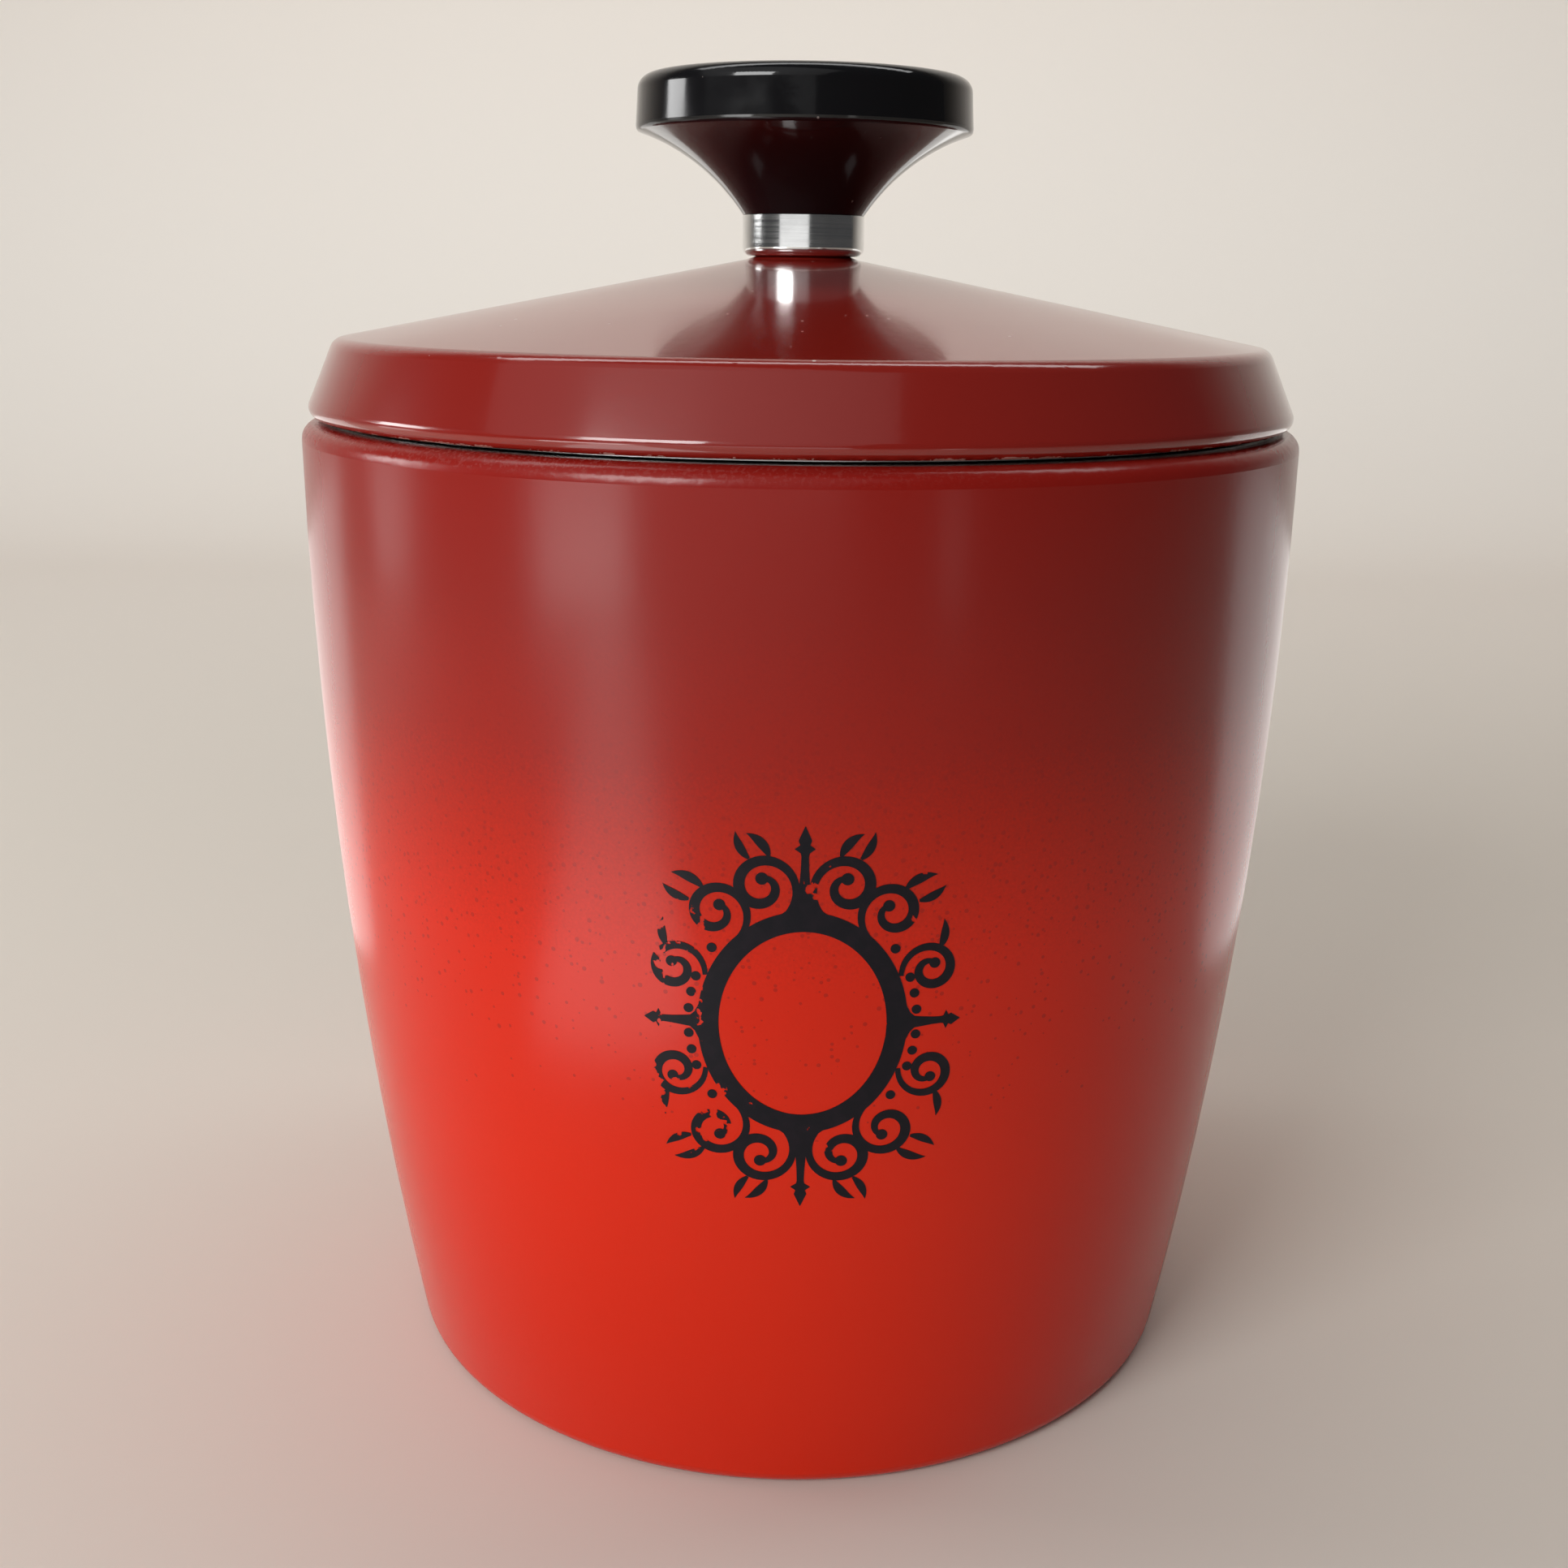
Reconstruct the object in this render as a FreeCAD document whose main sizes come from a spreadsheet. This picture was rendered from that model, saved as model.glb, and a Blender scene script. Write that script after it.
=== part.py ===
"""Grease canister with a drop-in strainer, a conical lid and a moulded knob.

The origin is the centre of the flat that the canister stands on, +Z is up and
the front, which carries the printed ornament, faces -Y. Every piece is turned
about Z. Lengths are millimetres. Sheet pieces are sized by the gauge of their
metal. A bend seen from both sides has its radius inside and that radius plus
the gauge outside. A bend whose inside stays hidden is rounded outside only.
"""
import FreeCAD, Part
import Sketcher
import collections
import math
import os

Vector = FreeCAD.Vector

# Driving sizes
SIZES = {
    # Canister body
    "mouth_radius": 60.5,
    "foot_radius": 51.05,
    "belly_bulge": 2.675,
    "rim_height": 118.0,
    "body_gauge": 0.9,
    "foot_round": 2.0,
    "foot_width": 5.0,
    "base_rise": 1.5,
    "rim_round": 2.0,
    "ledge_width": 6.0,
    "neck_depth": 9.0,
    "neck_bend": 1.3,
    # Strainer
    "strainer_gauge": 0.7,
    "strainer_clearance": 0.5,
    "strainer_seat_gap": 0.2,
    "strainer_flange": 1.9,
    "strainer_depth": 12.0,
    "strainer_taper": 1.0,
    "strainer_bend": 1.6,
    "hole_radius": 1.6,
    "hole_pitch": 13.0,
    # Lid
    "lid_gauge": 0.7,
    "lid_inset": 0.3,
    "seat_clearance": 0.3,
    "hem_clearance": 0.4,
    "skirt_height": 8.9,
    "skirt_slope": 3.9,
    "cone_rise": 10.9,
    "hem_bend": 1.2,
    "shoulder_bend": 1.1,
    "boss_radius": 5.8,
    "boss_flare": 1.1,
    "boss_height": 0.4,
    "boss_bend": 0.3,
    # Plug ring inside the lid
    "plug_gauge": 0.5,
    "plug_depth": 5.2,
    "plug_clearance": 0.35,
    "plug_lip": 1.8,
    "plug_bend": 1.1,
    "crimp_clearance": 0.6,
    # Ferrule under the knob
    "ferrule_radius": 7.4,
    "ferrule_height": 4.7,
    "ferrule_gauge": 0.7,
    "ferrule_bend": 1.0,
    "spigot_clearance": 0.2,
    # Knob
    "knob_neck_radius": 7.3,
    "knob_radius": 20.2,
    "knob_flare_height": 9.45,
    "knob_flare_hollow": 1.35,
    "knob_edge": 0.55,
    "knob_side": 5.6,
    "knob_draft": 0.35,
    "knob_crown": 0.5,
    "knob_edge_round": 0.5,
    "knob_top_round": 1.75,
    # Knob fastening
    "thread_radius": 2.5,
    "thread_clearance": 0.05,
    "hole_clearance": 0.25,
    "insert_wall": 1.05,
    "insert_length": 10.0,
    "insert_cap": 1.0,
    "insert_groove": 0.6,
    "screw_length": 12.0,
    "screw_head_rim": 2.25,
    "screw_head_height": 3.2,
    "screw_head_round": 1.6,
    "screw_recess_width": 1.1,
    "screw_recess_length": 5.0,
    "screw_recess_depth": 1.7,
    "washer_width": 2.25,
    "washer_thickness": 1.0,
    "lock_washer_width": 1.65,
    "lock_washer_thickness": 1.2,
    "lock_washer_split": 0.9,
}

STRAINER_RINGS = 3
HOLES_PER_RING_STEP = 6

# Shift of a corner of a 45 degree step when the sheet is followed one gauge away
STEP_SHIFT = math.tan(math.radians(22.5))

document = FreeCAD.newDocument("grease_canister")


class Size:
    """A length: the number it has now, and the sheet formula that gives it."""

    def __init__(self, number, formula):
        self.number = number
        self.formula = formula

    def joined(self, sign, other, number):
        return Size(number, "(%s %s %s)" % (self.formula, sign, other.formula))

    def __add__(self, other):
        other = as_size(other)
        return self.joined("+", other, self.number + other.number)

    def __sub__(self, other):
        other = as_size(other)
        return self.joined("-", other, self.number - other.number)

    def __mul__(self, other):
        other = as_size(other)
        return self.joined("*", other, self.number * other.number)

    def __truediv__(self, other):
        other = as_size(other)
        return self.joined("/", other, self.number / other.number)


def as_size(value):
    """A plain number as a Size, and a Size as it is."""
    if isinstance(value, Size):
        return value
    return Size(float(value), "%.9g" % value)


def root(value):
    """The square root of a Size."""
    return Size(math.sqrt(value.number), "sqrt(%s)" % value.formula)


class SizeSheet:
    """The spreadsheet of driving sizes. Each name gives its Size."""

    def __init__(self, sizes):
        self.sheet = document.addObject("Spreadsheet::Sheet", "Sizes")
        for row, (name, value) in enumerate(sizes.items(), start=1):
            self.sheet.set("A%d" % row, name)
            self.sheet.set("B%d" % row, str(value))
            self.sheet.setAlias("B%d" % row, name)
        document.recompute()

    def __getattr__(self, name):
        return Size(float(self.sheet.getPropertyByName(name)), "Sizes." + name)


size = SizeSheet(SIZES)
AXIS = as_size(0)
FLOOR = as_size(0)

# A point that the arc between its two neighbours in an outline passes through
Bow = collections.namedtuple("Bow", "across up")


def origin_plane(body, role):
    """The body's own origin plane with this role."""
    for feature in body.Origin.OriginFeatures:
        if feature.Role == role:
            return feature
    raise ValueError("no origin plane " + role)


def new_body(label):
    """An empty body whose label is the name of its piece."""
    body = document.addObject("PartDesign::Body", label)
    body.Label = label
    return body


def new_sketch(body, name, role):
    """An empty sketch on one of the body's origin planes."""
    sketch = body.newObject("Sketcher::SketchObject", name)
    sketch.AttachmentSupport = [(origin_plane(body, role), "")]
    sketch.MapMode = "FlatFace"
    return sketch


def here(corner):
    """The place of a corner in its sketch, from the numbers it has now."""
    return Vector(corner[0].number, corner[1].number, 0)


def bind(sketch, kind, geometry, end, length, name):
    """Hold one point of the sketch at a length from the sketch's origin."""
    if length.number == 0:
        axis = -2 if kind == "DistanceX" else -1
        sketch.addConstraint(Sketcher.Constraint("PointOnObject", geometry, end, axis))
        return
    limit = Sketcher.Constraint(kind, -1, 1, geometry, end, length.number)
    index = sketch.addConstraint(limit)
    sketch.renameConstraint(index, name)
    sketch.setExpression("Constraints." + name, length.formula)


def pin(sketch, geometry, end, corner, name):
    """Bind both places of one point of the sketch."""
    bind(sketch, "DistanceX", geometry, end, corner[0], name + "_across")
    bind(sketch, "DistanceY", geometry, end, corner[1], name + "_up")


def draw_edge(sketch, start, bow, end, name):
    """Add a line or, through a bow, an arc. Gives its number and its two ends."""
    if bow is None:
        segment = Part.LineSegment(here(start), here(end))
        return sketch.addGeometry(segment, False), 1, 2
    arc = sketch.addGeometry(Part.Arc(here(start), here(bow), here(end)), False)
    middle = sketch.addGeometry(Part.Point(here(bow)), True)
    pin(sketch, middle, 1, bow, name + "_bow")
    sketch.addConstraint(Sketcher.Constraint("PointOnObject", middle, 1, arc))
    if sketch.getPoint(arc, 1).distanceToPoint(here(start)) < 1e-6:
        return arc, 1, 2
    return arc, 2, 1


def outline(body, name, path):
    """Draw a closed outline, radius across and height up, in the XZ plane."""
    sketch = new_sketch(body, name, "XZ_Plane")
    edges = []
    for index, step in enumerate(path):
        if isinstance(step, Bow):
            continue
        after = path[(index + 1) % len(path)]
        bow = None
        if isinstance(after, Bow):
            bow = after
            after = path[(index + 2) % len(path)]
        edges.append(draw_edge(sketch, step, bow, after, "edge%d" % index))
        pin(sketch, edges[-1][0], edges[-1][1], step, "corner%d" % index)
    for index, (geometry, _, end) in enumerate(edges):
        following, start, _ = edges[(index + 1) % len(edges)]
        joint = Sketcher.Constraint("Coincident", geometry, end, following, start)
        sketch.addConstraint(joint)
    return sketch


def turned(label, path):
    """A body whose first feature turns the outline once round Z."""
    body = new_body(label)
    sketch = outline(body, label + "_outline", path)
    turn = body.newObject("PartDesign::Revolution", label + "_turn")
    turn.Profile = sketch
    turn.ReferenceAxis = (sketch, ["V_Axis"])
    turn.Angle = 360
    document.recompute()
    return body


def rings(shape, corner):
    """The names of the circular edges of a shape at one corner of its outline."""
    found = []
    for number, edge in enumerate(shape.Edges, start=1):
        if edge.Degenerated or not isinstance(edge.Curve, Part.Circle):
            continue
        curve = edge.Curve
        off_radius = abs(curve.Radius - corner[0].number)
        off_height = abs(curve.Center.z - corner[1].number)
        if off_radius < 1e-4 and off_height < 1e-4:
            found.append("Edge%d" % number)
    if not found:
        raise ValueError("no edge at radius %.3f" % corner[0].number)
    return found


def rounded(body, radius, *corners):
    """Round the turned edges at these corners of the outline."""
    base = body.Tip
    edges = []
    for corner in corners:
        edges.extend(rings(base.Shape, corner))
    fillet = body.newObject("PartDesign::Fillet", body.Label + "_round")
    fillet.Base = (base, edges)
    fillet.Radius = radius.number
    fillet.setExpression("Radius", radius.formula)
    document.recompute()


def raised_sketch(body, name, height):
    """An empty sketch that lies level at a height above the body's origin."""
    sketch = new_sketch(body, name, "XY_Plane")
    sketch.AttachmentOffset = FreeCAD.Placement(Vector(0, 0, height.number), FreeCAD.Rotation())
    sketch.setExpression(".AttachmentOffset.Base.z", height.formula)
    return sketch


def cut_through(body, sketch, depth):
    """Cut the sketch out of the body to half the depth above and below it."""
    pocket = body.newObject("PartDesign::Pocket", sketch.Name + "_cut")
    pocket.Profile = sketch
    pocket.SideType = "Symmetric"
    pocket.Length = depth.number
    pocket.setExpression("Length", depth.formula)
    before = body.Shape.Volume
    body.Tip = pocket
    document.recompute()
    if body.Shape.Volume >= before:
        raise ValueError(sketch.Name + " cuts nothing")
    return pocket


def repeated(body, feature, sketch, count, angle):
    """Repeat a feature round the sketch's normal axis."""
    pattern = body.newObject("PartDesign::PolarPattern", feature.Name + "_round")
    pattern.Originals = [feature]
    pattern.Axis = (sketch, ["N_Axis"])
    pattern.Angle = angle
    pattern.Occurrences = count
    body.Tip = pattern
    document.recompute()


def box_sketch(body, name, height, low, high):
    """A level rectangle between two opposite corners."""
    sketch = raised_sketch(body, name, height)
    corners = [low, (high[0], low[1]), high, (low[0], high[1])]
    sides = []
    for index, corner in enumerate(corners):
        segment = Part.LineSegment(here(corner), here(corners[(index + 1) % 4]))
        sides.append(sketch.addGeometry(segment, False))
        pin(sketch, sides[index], 1, corner, "corner%d" % index)
    for index, side in enumerate(sides):
        following = sides[(index + 1) % 4]
        sketch.addConstraint(Sketcher.Constraint("Coincident", side, 2, following, 1))
    return sketch


def placed_at(body, height):
    """Move a body up to its height in the whole."""
    body.Placement = FreeCAD.Placement(Vector(0, 0, height.number), FreeCAD.Rotation())
    body.setExpression(".Placement.Base.z", height.formula)


# Places that more than one piece shares
neck_radius = size.mouth_radius - size.ledge_width
flange_radius = neck_radius + size.strainer_flange
flange_seat = size.rim_height + size.strainer_seat_gap
flange_top = flange_seat + size.strainer_gauge
strainer_radius = neck_radius - size.strainer_clearance
strainer_floor = size.rim_height - size.strainer_depth
strainer_corner = size.neck_bend + size.strainer_clearance
plug_seat = flange_top + size.seat_clearance
hem_bottom = plug_seat - size.lid_gauge
hem_radius = size.mouth_radius - size.lid_inset
hem_inner = flange_radius + size.hem_clearance
shoulder_radius = hem_radius - size.skirt_slope
shoulder_height = hem_bottom + size.skirt_height
apex_height = shoulder_height + size.cone_rise
skirt_lean = size.skirt_slope / size.skirt_height
cone_lean = size.cone_rise / shoulder_radius
boss_foot_radius = size.boss_radius + size.boss_flare
boss_foot = apex_height - cone_lean * boss_foot_radius
boss_top = boss_foot + size.boss_height
boss_under = boss_top - size.lid_gauge
ferrule_top = boss_top + size.ferrule_height
screw_hole = size.thread_radius + size.hole_clearance
spigot_radius = size.ferrule_radius - size.ferrule_gauge - size.spigot_clearance
spigot_bottom = boss_top + size.ferrule_gauge + size.spigot_clearance
insert_bore = size.thread_radius + size.thread_clearance
insert_radius = insert_bore + size.insert_wall
groove_radius = insert_radius - size.insert_groove
insert_top = spigot_bottom + size.insert_length
groove_low = spigot_bottom + size.insert_length / 3
groove_high = spigot_bottom + size.insert_length / 2
lock_washer_top = boss_under - size.washer_thickness
screw_seat = lock_washer_top - size.lock_washer_thickness


def canister_body():
    """Drawn wall, footed base and a rim turned in to a ledge and a short neck."""
    gauge = size.body_gauge
    belly_radius = (size.foot_radius + size.mouth_radius) / 2 + size.belly_bulge
    half_height = size.rim_height / 2
    step_radius = size.foot_radius - size.foot_width
    recess_radius = step_radius - size.base_rise
    shift = gauge * STEP_SHIFT
    neck_bottom = size.rim_height - size.neck_depth
    ledge_under = size.rim_height - gauge
    neck_back = neck_radius + gauge
    foot = (size.foot_radius, FLOOR)
    foot_inside = (size.foot_radius - gauge, gauge)
    rim = (size.mouth_radius, size.rim_height)
    neck = (neck_radius, size.rim_height)
    body = turned("canister_body", [
        (AXIS, size.base_rise),
        (recess_radius, size.base_rise),
        (step_radius, FLOOR),
        foot,
        Bow(belly_radius, half_height),
        rim,
        neck,
        (neck_radius, neck_bottom),
        (neck_back, neck_bottom),
        (neck_back, ledge_under),
        (size.mouth_radius - gauge, ledge_under),
        Bow(belly_radius - gauge, half_height),
        foot_inside,
        (step_radius + shift, gauge),
        (recess_radius + shift, size.base_rise + gauge),
        (AXIS, size.base_rise + gauge),
    ])
    rounded(body, size.foot_round, foot)
    rounded(body, size.foot_round - gauge, foot_inside)
    rounded(body, size.rim_round, rim)
    rounded(body, size.neck_bend, neck)
    return body


def strainer():
    """Dish that hangs by its flange on the ledge, with a pierced floor."""
    gauge = size.strainer_gauge
    inner_radius = strainer_radius - gauge
    floor_radius = strainer_radius - size.strainer_taper
    floor_top = strainer_floor + gauge
    corner = (strainer_radius, flange_seat)
    corner_inside = (inner_radius, flange_top)
    floor_corner = (floor_radius, strainer_floor)
    floor_corner_inside = (floor_radius - gauge, floor_top)
    body = turned("strainer", [
        (AXIS, strainer_floor),
        floor_corner,
        corner,
        (flange_radius, flange_seat),
        (flange_radius, flange_top),
        corner_inside,
        floor_corner_inside,
        (AXIS, floor_top),
    ])
    rounded(body, strainer_corner, corner)
    rounded(body, strainer_corner + gauge, corner_inside)
    rounded(body, size.strainer_bend + gauge, floor_corner)
    rounded(body, size.strainer_bend, floor_corner_inside)
    for ring in range(STRAINER_RINGS + 1):
        pierce_ring(body, ring)
    return body


def pierce_ring(body, ring):
    """One ring of drain holes. Ring 0 is the single hole in the centre."""
    middle = strainer_floor + size.strainer_gauge / 2
    ring_radius = size.hole_pitch * ring
    sketch = raised_sketch(body, "drain_ring%d" % ring, middle)
    circle = Part.Circle(Vector(ring_radius.number, 0, 0), Vector(0, 0, 1), size.hole_radius.number)
    hole = sketch.addGeometry(circle, False)
    bind(sketch, "DistanceX", hole, 3, ring_radius, "ring_radius")
    bind(sketch, "DistanceY", hole, 3, FLOOR, "level")
    index = sketch.addConstraint(Sketcher.Constraint("Radius", hole, size.hole_radius.number))
    sketch.renameConstraint(index, "hole")
    sketch.setExpression("Constraints.hole", size.hole_radius.formula)
    cut = cut_through(body, sketch, size.strainer_gauge * 3)
    if ring:
        repeated(body, cut, sketch, HOLES_PER_RING_STEP * ring, 360)


def lid_shell():
    """Cone and skirt of one sheet, with a hem turned in under the skirt."""
    gauge = size.lid_gauge
    hem_top = hem_bottom + gauge
    skirt_shift = gauge * root(skirt_lean * skirt_lean + 1)
    cone_drop = gauge * root(cone_lean * cone_lean + 1)
    inner_apex = apex_height - cone_drop
    skirt_base = hem_radius - skirt_shift - skirt_lean * gauge
    reach = hem_radius - skirt_shift - skirt_lean * (inner_apex - hem_bottom)
    inner_shoulder_radius = reach / (as_size(1) - skirt_lean * cone_lean)
    inner_shoulder = inner_apex - cone_lean * inner_shoulder_radius
    # The corners under the boss are shifted so that the sheet keeps its gauge there
    under_boss_radius = size.boss_radius - gauge / 4
    under_foot_radius = boss_foot_radius - gauge / 3
    under_foot = inner_apex - cone_lean * under_foot_radius
    hem = (hem_radius, hem_bottom)
    shoulder = (shoulder_radius, shoulder_height)
    shoulder_inside = (inner_shoulder_radius, inner_shoulder)
    boss = (size.boss_radius, boss_top)
    body = turned("lid_shell", [
        (screw_hole, boss_top),
        boss,
        (boss_foot_radius, boss_foot),
        shoulder,
        hem,
        (hem_inner, hem_bottom),
        (hem_inner, hem_top),
        (skirt_base, hem_top),
        shoulder_inside,
        (under_foot_radius, under_foot),
        (under_boss_radius, boss_under),
        (screw_hole, boss_under),
    ])
    rounded(body, size.hem_bend, hem)
    rounded(body, size.shoulder_bend + gauge, shoulder)
    rounded(body, size.shoulder_bend, shoulder_inside)
    rounded(body, size.boss_bend, boss, (boss_foot_radius, boss_foot))
    return body


def lid_plug_ring():
    """Flange crimped in the hem, a wall that plugs the mouth and a lip turned in."""
    gauge = size.plug_gauge
    bottom = flange_top - size.plug_depth
    taper_there = size.strainer_taper * size.plug_depth / size.strainer_depth
    mouth = strainer_radius - size.strainer_gauge - taper_there
    wall = mouth - size.plug_clearance
    wall_inside = wall - gauge
    web_top = plug_seat + gauge
    lip_radius = wall - size.plug_lip
    skirt_there = hem_radius - skirt_lean * (size.lid_gauge + gauge) - size.lid_gauge
    outer = skirt_there - size.crimp_clearance
    under_bend = strainer_corner + size.strainer_gauge + size.seat_clearance
    corner = (wall, plug_seat)
    corner_inside = (wall_inside, web_top)
    lip = (wall, bottom)
    body = turned("lid_plug_ring", [
        (outer, plug_seat),
        (outer, web_top),
        corner_inside,
        (wall_inside, bottom + gauge),
        (lip_radius, bottom + gauge),
        (lip_radius, bottom),
        lip,
        corner,
    ])
    rounded(body, under_bend, corner)
    rounded(body, under_bend + gauge, corner_inside)
    rounded(body, size.plug_bend, lip)
    return body


def ferrule():
    """Bright cup that stands on the lid's boss and takes the knob's spigot."""
    gauge = size.ferrule_gauge
    inside = size.ferrule_radius - gauge
    floor_top = boss_top + gauge
    corner = (size.ferrule_radius, boss_top)
    body = turned("ferrule", [
        (screw_hole, boss_top),
        corner,
        (size.ferrule_radius, ferrule_top),
        (inside, ferrule_top),
        (inside, floor_top),
        (screw_hole, floor_top),
    ])
    rounded(body, size.ferrule_bend, corner)
    return body


def knob():
    """Moulded knob: spigot, hollow flare, disc with a parting line, low crown."""
    flare_top = ferrule_top + size.knob_flare_height
    parting = flare_top + size.knob_edge
    disc_top = parting + size.knob_side
    # The draft below the parting line is a quarter of the draft above it
    edge_radius = size.knob_radius - size.knob_draft / 4
    top_radius = size.knob_radius - size.knob_draft
    run = edge_radius - size.knob_neck_radius
    chord = root(run * run + size.knob_flare_height * size.knob_flare_height)
    hollow = size.knob_flare_hollow / chord
    flare_radius = (edge_radius + size.knob_neck_radius) / 2 - hollow * size.knob_flare_height
    flare_height = (flare_top + ferrule_top) / 2 + hollow * run
    edge = (edge_radius, flare_top)
    top = (top_radius, disc_top)
    body = turned("knob", [
        (AXIS, disc_top + size.knob_crown),
        Bow(top_radius / 2, disc_top + size.knob_crown * 3 / 4),
        top,
        (size.knob_radius, parting),
        edge,
        Bow(flare_radius, flare_height),
        (size.knob_neck_radius, ferrule_top),
        (spigot_radius, ferrule_top),
        (spigot_radius, spigot_bottom),
        (insert_radius, spigot_bottom),
        (insert_radius, groove_low),
        (groove_radius, groove_low),
        (groove_radius, groove_high),
        (insert_radius, groove_high),
        (insert_radius, insert_top),
        (AXIS, insert_top),
    ])
    rounded(body, size.knob_edge_round, edge)
    rounded(body, size.knob_top_round, top)
    return body


def knob_insert():
    """Brass insert moulded into the knob, with a locking groove and a blind bore."""
    bore_top = insert_top - size.insert_cap
    return turned("knob_insert", [
        (insert_bore, spigot_bottom),
        (insert_radius, spigot_bottom),
        (insert_radius, groove_low),
        (groove_radius, groove_low),
        (groove_radius, groove_high),
        (insert_radius, groove_high),
        (insert_radius, insert_top),
        (AXIS, insert_top),
        (AXIS, bore_top),
        (insert_bore, bore_top),
    ])


def knob_screw():
    """Pan head screw with a cross recess. Its origin is in the middle of its head's face."""
    seat = size.screw_head_height
    shank_top = seat + size.screw_length
    tip_chamfer = size.thread_radius / 5
    half_length = size.screw_recess_length / 2
    half_width = size.screw_recess_width / 2
    head_radius = size.thread_radius + size.screw_head_rim
    head = (head_radius, FLOOR)
    body = turned("knob_screw", [
        (AXIS, FLOOR),
        head,
        (head_radius, seat),
        (size.thread_radius, seat),
        (size.thread_radius, shank_top - tip_chamfer),
        (size.thread_radius - tip_chamfer, shank_top),
        (AXIS, shank_top),
    ])
    rounded(body, size.screw_head_round, head)
    low = (AXIS - half_length, AXIS - half_width)
    recess = box_sketch(body, "recess", FLOOR, low, (half_length, half_width))
    cut = cut_through(body, recess, size.screw_recess_depth * 2)
    repeated(body, cut, recess, 2, 180)
    placed_at(body, screw_seat - seat)
    return body


def washer(label, width, thickness, height):
    """Flat ring with its lower face at its origin, placed at its height."""
    radius = screw_hole + width
    body = turned(label, [
        (screw_hole, FLOOR),
        (radius, FLOOR),
        (radius, thickness),
        (screw_hole, thickness),
    ])
    placed_at(body, height)
    return body


def flat_washer():
    """Washer against the underside of the lid's boss."""
    return washer("flat_washer", size.washer_width, size.washer_thickness, lock_washer_top)


def lock_washer():
    """Split spring washer, closed up flat as it is when the screw is tight."""
    thickness = size.lock_washer_thickness
    half_split = size.lock_washer_split / 2
    body = washer("lock_washer", size.lock_washer_width, thickness, screw_seat)
    low = (AXIS, AXIS - half_split)
    high = ((screw_hole + size.lock_washer_width) * 2, half_split)
    split = box_sketch(body, "split", thickness / 2, low, high)
    cut_through(body, split, thickness * 2)
    return body


PIECES = [
    canister_body,
    strainer,
    lid_shell,
    lid_plug_ring,
    ferrule,
    knob,
    knob_insert,
    knob_screw,
    flat_washer,
    lock_washer,
]


def check_document():
    """Stop if any feature failed, so that nothing half built is written."""
    for item in document.Objects:
        if "Invalid" in item.State or "Error" in item.State:
            raise RuntimeError("failed feature " + item.Label)


def write_piece(body):
    """Write one piece to its own file, after a last look at its solid."""
    shape = body.Shape
    if shape.isNull() or not shape.isValid() or len(shape.Solids) != 1:
        raise RuntimeError("bad solid " + body.Label)
    shape.exportStep("parts/" + body.Label + ".step")
    corner = shape.BoundBox
    print("%-16s %9.1f mm3, z %.2f to %.2f" % (body.Label, shape.Volume, corner.ZMin, corner.ZMax))


os.makedirs("parts", exist_ok=True)
bodies = [make_piece() for make_piece in PIECES]
document.recompute()
check_document()
for piece in bodies:
    write_piece(piece)
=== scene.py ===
import math

import bpy
from mathutils import Matrix, Quaternion, Vector
from mathutils.geometry import delaunay_2d_cdt


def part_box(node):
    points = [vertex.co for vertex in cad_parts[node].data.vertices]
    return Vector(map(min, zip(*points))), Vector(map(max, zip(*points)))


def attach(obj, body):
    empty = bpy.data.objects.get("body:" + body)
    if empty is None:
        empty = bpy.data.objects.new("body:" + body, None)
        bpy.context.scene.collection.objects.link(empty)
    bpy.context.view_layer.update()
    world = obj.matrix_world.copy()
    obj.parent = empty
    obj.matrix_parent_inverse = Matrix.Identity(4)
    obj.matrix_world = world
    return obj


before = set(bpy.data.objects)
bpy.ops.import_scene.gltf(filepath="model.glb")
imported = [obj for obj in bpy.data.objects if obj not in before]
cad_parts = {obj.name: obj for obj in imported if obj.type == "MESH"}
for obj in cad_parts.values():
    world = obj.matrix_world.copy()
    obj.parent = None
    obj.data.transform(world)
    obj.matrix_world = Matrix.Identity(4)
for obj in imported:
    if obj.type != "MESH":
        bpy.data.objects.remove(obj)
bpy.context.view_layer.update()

MM = 0.001

# The photograph's camera, in the frame of the canister
CAMERA_PLACE = (0.0, -0.2288, 0.1353)
CAMERA_PITCH = math.radians(16.24)
CAMERA_ROLL = math.radians(0.76)
PHOTO_WIDTH = 1932
FOCAL_PIXELS = 2208
CENTRE_PIXEL = (980.6, 980.9)
SENSOR_WIDTH = 36.0

# Places on the canister that the finishes follow
RIM_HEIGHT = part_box("canister_body")[1][2]
MOUTH_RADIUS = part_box("canister_body")[1][0]
HEM_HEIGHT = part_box("lid_shell")[0][2]
LID_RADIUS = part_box("lid_shell")[1][0]
FOOT_RADIUS = 51.05 * MM
BELLY_RADIUS = 58.45 * MM
LEDGE_RADIUS = 57.6 * MM

# Enamel and other colours, linear
FLAME_RED = (0.74, 0.020, 0.001)
BLAZE_RED = (0.67, 0.017, 0.002)
EMBER_RED = (0.48, 0.014, 0.003)
RUSSET = (0.335, 0.012, 0.006)
MAROON = (0.275, 0.011, 0.007)
LID_MAROON = (0.255, 0.014, 0.009)
# Pink of the primer where the enamel is chipped; on the body's rim it also paints part of a highlight
PRIMER_AND_HIGHLIGHT_PINK = (0.62, 0.42, 0.38)
PALE_DUST = (0.72, 0.66, 0.62)
BARE_METAL = (0.78, 0.78, 0.77)
BRIGHT_METAL = (0.88, 0.88, 0.87)
KNOB_BLACK = (0.006, 0.006, 0.007)
INK_BLACK = (0.006, 0.006, 0.010)
INK_GREYED = (0.010, 0.008, 0.013)
BRASS = (0.72, 0.50, 0.20)
ZINC = (0.62, 0.64, 0.66)
FLOOR_TONE = (0.74, 0.70, 0.63)
WALL_TONE = (0.92, 0.885, 0.82)

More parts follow.
